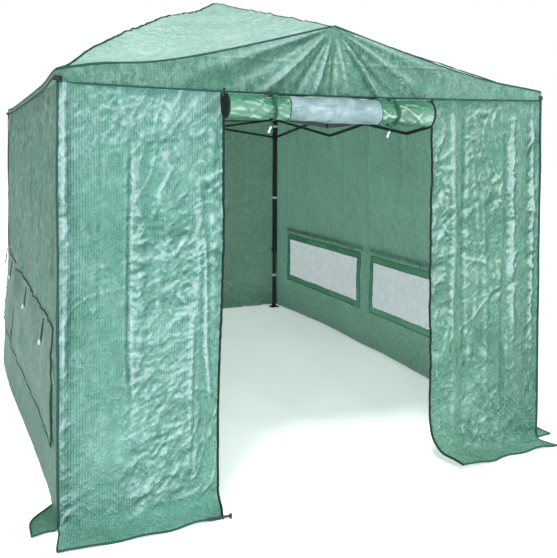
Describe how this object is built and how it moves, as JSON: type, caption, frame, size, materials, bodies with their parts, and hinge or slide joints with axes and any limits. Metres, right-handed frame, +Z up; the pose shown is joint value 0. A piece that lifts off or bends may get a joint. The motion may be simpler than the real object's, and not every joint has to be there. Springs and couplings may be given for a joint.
{
  "type": "pop up greenhouse",
  "caption": "Walk-in pop-up greenhouse: folding steel scissor frame on telescoping legs under a hipped green film cover with roll-up door, side windows and ground skirts.",
  "frame": {"origin": "on the ground, under the middle of the bounding box", "axes": "+X along the door wall, +Y from the door wall to the back wall along the longest side, +Z up"},
  "size_m": [2.71, 3.83, 2.4597],
  "materials": {
    "frame_black": "semi-gloss powder coat",
    "moulded_black": "matte moulded",
    "button_red": "gloss",
    "film_wall": "crinkled grid film, semi-translucent",
    "film_roof": "taut grid film, semi-translucent",
    "film_door": "rolled grid film, semi-translucent",
    "window_film": "clear film"
  },
  "bodies": {
    "leg_fl": {"outer_leg_fl": "frame_black", "corner_bracket_fl": "moulded_black", "front_panel_left": "film_wall"},
    "lower_fl": {"lower_leg_fl": "frame_black", "foot_fl": "moulded_black"},
    "slider_fl": {"slider_fl": "moulded_black"},
    "button_fl": {"leg_button_fl": "button_red"},
    "leg_fr": {"outer_leg_fr": "frame_black", "corner_bracket_fr": "moulded_black", "front_panel_right": "film_wall"},
    "lower_fr": {"lower_leg_fr": "frame_black", "foot_fr": "moulded_black"},
    "slider_fr": {"slider_fr": "moulded_black"},
    "button_fr": {"leg_button_fr": "button_red"},
    "leg_bl": {"outer_leg_bl": "frame_black", "corner_bracket_bl": "moulded_black", "left_wall": "film_wall", "left_windows": "window_film", "back_wall": "film_wall"},
    "lower_bl": {"lower_leg_bl": "frame_black", "foot_bl": "moulded_black"},
    "slider_bl": {"slider_bl": "moulded_black"},
    "button_bl": {"leg_button_bl": "button_red"},
    "leg_br": {"outer_leg_br": "frame_black", "corner_bracket_br": "moulded_black", "right_wall": "film_wall", "right_windows": "window_film"},
    "lower_br": {"lower_leg_br": "frame_black", "foot_br": "moulded_black"},
    "slider_br": {"slider_br": "moulded_black"},
    "button_br": {"leg_button_br": "button_red"},
    "left_bar_a1": {"left_bar_a1": "frame_black"},
    "left_bar_b1": {"left_bar_b1": "frame_black"},
    "left_bar_a2": {"left_bar_a2": "frame_black"},
    "left_bar_b2": {"left_bar_b2": "frame_black"},
    "left_bar_a3": {"left_bar_a3": "frame_black"},
    "left_bar_b3": {"left_bar_b3": "frame_black"},
    "right_bar_a1": {"right_bar_a1": "frame_black"},
    "right_bar_b1": {"right_bar_b1": "frame_black"},
    "right_bar_a2": {"right_bar_a2": "frame_black"},
    "right_bar_b2": {"right_bar_b2": "frame_black"},
    "right_bar_a3": {"right_bar_a3": "frame_black"},
    "right_bar_b3": {"right_bar_b3": "frame_black"},
    "front_bar_a1": {"front_bar_a1": "frame_black"},
    "front_bar_b1": {"front_bar_b1": "frame_black"},
    "front_bar_a2": {"front_bar_a2": "frame_black"},
    "front_bar_b2": {"front_bar_b2": "frame_black"},
    "back_bar_a1": {"back_bar_a1": "frame_black"},
    "back_bar_b1": {"back_bar_b1": "frame_black"},
    "back_bar_a2": {"back_bar_a2": "frame_black"},
    "back_bar_b2": {"back_bar_b2": "frame_black"},
    "post_front": {"gable_post_front": "frame_black", "rolled_door": "film_door"},
    "post_back": {"gable_post_back": "frame_black"},
    "ridge_outer_front": {"ridge_outer_front": "frame_black"},
    "ridge_inner_front": {"ridge_inner_front": "frame_black"},
    "ridge_outer_back": {"ridge_outer_back": "frame_black"},
    "ridge_inner_back": {"ridge_inner_back": "frame_black"},
    "hub": {"peak_hub": "moulded_black", "roof_canopy": "film_roof"}
  },
  "joints": [
    {"name": "frame_fold", "type": "hinge", "parent": "leg_bl", "child": "left_bar_a1", "pos_m": [-1.15, 1.68, 1.765], "axis": [1, 0, 0], "range_deg": [0, 76], "deforming": ["roof_canopy", "front_panel_left", "front_panel_right", "back_wall", "left_wall", "right_wall", "left_windows", "right_windows", "rolled_door"]},
    {"name": "left_cross_1", "type": "hinge", "parent": "left_bar_a1", "child": "left_bar_b1", "pos_m": [-1.15, 1.12, 1.685], "axis": [1, 0, 0], "range_deg": [-152, 0]},
    {"name": "left_upper_joint_1", "type": "hinge", "parent": "left_bar_b1", "child": "left_bar_a2", "pos_m": [-1.15, 0.56, 1.765], "axis": [1, 0, 0], "range_deg": [0, 152]},
    {"name": "left_cross_2", "type": "hinge", "parent": "left_bar_a2", "child": "left_bar_b2", "pos_m": [-1.15, 0, 1.685], "axis": [1, 0, 0], "range_deg": [-152, 0]},
    {"name": "left_upper_joint_2", "type": "hinge", "parent": "left_bar_b2", "child": "left_bar_a3", "pos_m": [-1.15, -0.56, 1.765], "axis": [1, 0, 0], "range_deg": [0, 152]},
    {"name": "left_cross_3", "type": "hinge", "parent": "left_bar_a3", "child": "left_bar_b3", "pos_m": [-1.15, -1.12, 1.685], "axis": [1, 0, 0], "range_deg": [-152, 0]},
    {"name": "left_top_pivot_front", "type": "hinge", "parent": "left_bar_b3", "child": "leg_fl", "pos_m": [-1.15, -1.68, 1.765], "axis": [1, 0, 0], "range_deg": [0, 76]},
    {"name": "slider_pivot_bl", "type": "hinge", "parent": "left_bar_b1", "child": "slider_bl", "pos_m": [-1.15, 1.68, 1.605], "axis": [1, 0, 0], "range_deg": [0, 76]},
    {"name": "slider_pivot_fl", "type": "hinge", "parent": "left_bar_a3", "child": "slider_fl", "pos_m": [-1.15, -1.68, 1.605], "axis": [1, 0, 0], "range_deg": [-76, 0]},
    {"name": "back_top_pivot_left", "type": "hinge", "parent": "leg_bl", "child": "back_bar_a1", "pos_m": [-1.12, 1.71, 1.765], "axis": [0, -1, 0], "range_deg": [-76, 0]},
    {"name": "back_cross_1", "type": "hinge", "parent": "back_bar_a1", "child": "back_bar_b1", "pos_m": [-0.56, 1.71, 1.685], "axis": [0, -1, 0], "range_deg": [0, 152]},
    {"name": "back_upper_joint", "type": "hinge", "parent": "back_bar_b1", "child": "back_bar_a2", "pos_m": [0, 1.71, 1.765], "axis": [0, -1, 0], "range_deg": [-152, 0]},
    {"name": "back_cross_2", "type": "hinge", "parent": "back_bar_a2", "child": "back_bar_b2", "pos_m": [0.56, 1.71, 1.685], "axis": [0, -1, 0], "range_deg": [0, 152]},
    {"name": "back_top_pivot_right", "type": "hinge", "parent": "back_bar_b2", "child": "leg_br", "pos_m": [1.12, 1.71, 1.765], "axis": [0, -1, 0], "range_deg": [-76, 0]},
    {"name": "slider_pivot_br", "type": "hinge", "parent": "back_bar_a2", "child": "slider_br", "pos_m": [1.12, 1.71, 1.605], "axis": [0, -1, 0], "range_deg": [0, 76]},
    {"name": "post_pivot_back", "type": "hinge", "parent": "back_bar_b1", "child": "post_back", "pos_m": [0, 1.71, 1.765], "axis": [0, -1, 0], "range_deg": [-76, 0]},
    {"name": "right_top_pivot_back", "type": "hinge", "parent": "leg_br", "child": "right_bar_a1", "pos_m": [1.15, 1.68, 1.765], "axis": [1, 0, 0], "range_deg": [0, 76]},
    {"name": "right_cross_1", "type": "hinge", "parent": "right_bar_a1", "child": "right_bar_b1", "pos_m": [1.15, 1.12, 1.685], "axis": [1, 0, 0], "range_deg": [-152, 0]},
    {"name": "right_upper_joint_1", "type": "hinge", "parent": "right_bar_b1", "child": "right_bar_a2", "pos_m": [1.15, 0.56, 1.765], "axis": [1, 0, 0], "range_deg": [0, 152]},
    {"name": "right_cross_2", "type": "hinge", "parent": "right_bar_a2", "child": "right_bar_b2", "pos_m": [1.15, 0, 1.685], "axis": [1, 0, 0], "range_deg": [-152, 0]},
    {"name": "right_upper_joint_2", "type": "hinge", "parent": "right_bar_b2", "child": "right_bar_a3", "pos_m": [1.15, -0.56, 1.765], "axis": [1, 0, 0], "range_deg": [0, 152]},
    {"name": "right_cross_3", "type": "hinge", "parent": "right_bar_a3", "child": "right_bar_b3", "pos_m": [1.15, -1.12, 1.685], "axis": [1, 0, 0], "range_deg": [-152, 0]},
    {"name": "right_top_pivot_front", "type": "hinge", "parent": "right_bar_b3", "child": "leg_fr", "pos_m": [1.15, -1.68, 1.765], "axis": [1, 0, 0], "range_deg": [0, 76]},
    {"name": "slider_pivot_fr", "type": "hinge", "parent": "right_bar_a3", "child": "slider_fr", "pos_m": [1.15, -1.68, 1.605], "axis": [1, 0, 0], "range_deg": [-76, 0]},
    {"name": "front_top_pivot_left", "type": "hinge", "parent": "leg_fl", "child": "front_bar_a1", "pos_m": [-1.12, -1.71, 1.765], "axis": [0, -1, 0], "range_deg": [-76, 0]},
    {"name": "front_cross_1", "type": "hinge", "parent": "front_bar_a1", "child": "front_bar_b1", "pos_m": [-0.56, -1.71, 1.685], "axis": [0, -1, 0], "range_deg": [0, 152]},
    {"name": "post_pivot_front", "type": "hinge", "parent": "front_bar_b1", "child": "post_front", "pos_m": [0, -1.71, 1.765], "axis": [0, -1, 0], "range_deg": [-76, 0]},
    {"name": "front_top_pivot_right", "type": "hinge", "parent": "leg_fr", "child": "front_bar_b2", "pos_m": [1.12, -1.71, 1.765], "axis": [0, -1, 0], "range_deg": [0, 76]},
    {"name": "front_cross_2", "type": "hinge", "parent": "front_bar_b2", "child": "front_bar_a2", "pos_m": [0.56, -1.71, 1.685], "axis": [0, -1, 0], "range_deg": [-152, 0]},
    {"name": "ridge_post_pivot_front", "type": "hinge", "parent": "post_front", "child": "ridge_outer_front", "pos_m": [0, -1.71, 1.99], "axis": [1, 0, 0], "range_deg": [-76, 0]},
    {"name": "ridge_knee_front", "type": "hinge", "parent": "ridge_outer_front", "child": "ridge_inner_front", "pos_m": [0, -0.84075, 2.07477], "axis": [1, 0, 0], "range_deg": [0, 152]},
    {"name": "ridge_post_pivot_back", "type": "hinge", "parent": "post_back", "child": "ridge_outer_back", "pos_m": [0, 1.71, 1.99], "axis": [1, 0, 0], "range_deg": [0, 76]},
    {"name": "ridge_knee_back", "type": "hinge", "parent": "ridge_outer_back", "child": "ridge_inner_back", "pos_m": [0, 0.84075, 2.07477], "axis": [1, 0, 0], "range_deg": [-152, 0]},
    {"name": "hub_pivot", "type": "hinge", "parent": "ridge_inner_front", "child": "hub", "pos_m": [0, -0.03, 2.39954], "axis": [1, 0, 0], "range_deg": [-76, 0]},
    {"name": "leg_slide_fl", "type": "slide", "parent": "leg_fl", "child": "lower_fl", "axis": [0, 0, 1], "range_m": [0, 0.45]},
    {"name": "button_press_fl", "type": "slide", "parent": "leg_fl", "child": "button_fl", "axis": [0, -1, 0], "range_m": [0, 0.003], "stiffness_N_per_m": 900},
    {"name": "leg_slide_fr", "type": "slide", "parent": "leg_fr", "child": "lower_fr", "axis": [0, 0, 1], "range_m": [0, 0.45]},
    {"name": "button_press_fr", "type": "slide", "parent": "leg_fr", "child": "button_fr", "axis": [0, -1, 0], "range_m": [0, 0.003], "stiffness_N_per_m": 900},
    {"name": "leg_slide_bl", "type": "slide", "parent": "leg_bl", "child": "lower_bl", "axis": [0, 0, 1], "range_m": [0, 0.45]},
    {"name": "button_press_bl", "type": "slide", "parent": "leg_bl", "child": "button_bl", "axis": [0, 1, 0], "range_m": [0, 0.003], "stiffness_N_per_m": 900},
    {"name": "leg_slide_br", "type": "slide", "parent": "leg_br", "child": "lower_br", "axis": [0, 0, 1], "range_m": [0, 0.45]},
    {"name": "button_press_br", "type": "slide", "parent": "leg_br", "child": "button_br", "axis": [0, 1, 0], "range_m": [0, 0.003], "stiffness_N_per_m": 900}
  ],
  "couplings": [
    {"joint": "left_cross_1", "follows": "frame_fold", "ratio": -2},
    {"joint": "left_upper_joint_1", "follows": "frame_fold", "ratio": 2},
    {"joint": "left_cross_2", "follows": "frame_fold", "ratio": -2},
    {"joint": "left_upper_joint_2", "follows": "frame_fold", "ratio": 2},
    {"joint": "left_cross_3", "follows": "frame_fold", "ratio": -2},
    {"joint": "left_top_pivot_front", "follows": "frame_fold", "ratio": 1},
    {"joint": "slider_pivot_bl", "follows": "frame_fold", "ratio": 1},
    {"joint": "slider_pivot_fl", "follows": "frame_fold", "ratio": -1},
    {"joint": "back_top_pivot_left", "follows": "frame_fold", "ratio": -1},
    {"joint": "back_cross_1", "follows": "frame_fold", "ratio": 2},
    {"joint": "back_upper_joint", "follows": "frame_fold", "ratio": -2},
    {"joint": "back_cross_2", "follows": "frame_fold", "ratio": 2},
    {"joint": "back_top_pivot_right", "follows": "frame_fold", "ratio": -1},
    {"joint": "slider_pivot_br", "follows": "frame_fold", "ratio": 1},
    {"joint": "post_pivot_back", "follows": "frame_fold", "ratio": -1},
    {"joint": "right_top_pivot_back", "follows": "frame_fold", "ratio": 1},
    {"joint": "right_cross_1", "follows": "frame_fold", "ratio": -2},
    {"joint": "right_upper_joint_1", "follows": "frame_fold", "ratio": 2},
    {"joint": "right_cross_2", "follows": "frame_fold", "ratio": -2},
    {"joint": "right_upper_joint_2", "follows": "frame_fold", "ratio": 2},
    {"joint": "right_cross_3", "follows": "frame_fold", "ratio": -2},
    {"joint": "right_top_pivot_front", "follows": "frame_fold", "ratio": 1},
    {"joint": "slider_pivot_fr", "follows": "frame_fold", "ratio": -1},
    {"joint": "front_top_pivot_left", "follows": "frame_fold", "ratio": -1},
    {"joint": "front_cross_1", "follows": "frame_fold", "ratio": 2},
    {"joint": "post_pivot_front", "follows": "frame_fold", "ratio": -1},
    {"joint": "front_top_pivot_right", "follows": "frame_fold", "ratio": 1},
    {"joint": "front_cross_2", "follows": "frame_fold", "ratio": -2},
    {"joint": "ridge_post_pivot_front", "follows": "frame_fold", "ratio": -1},
    {"joint": "ridge_knee_front", "follows": "frame_fold", "ratio": 2},
    {"joint": "ridge_post_pivot_back", "follows": "frame_fold", "ratio": 1},
    {"joint": "ridge_knee_back", "follows": "frame_fold", "ratio": -2},
    {"joint": "hub_pivot", "follows": "frame_fold", "ratio": -1}
  ]
}
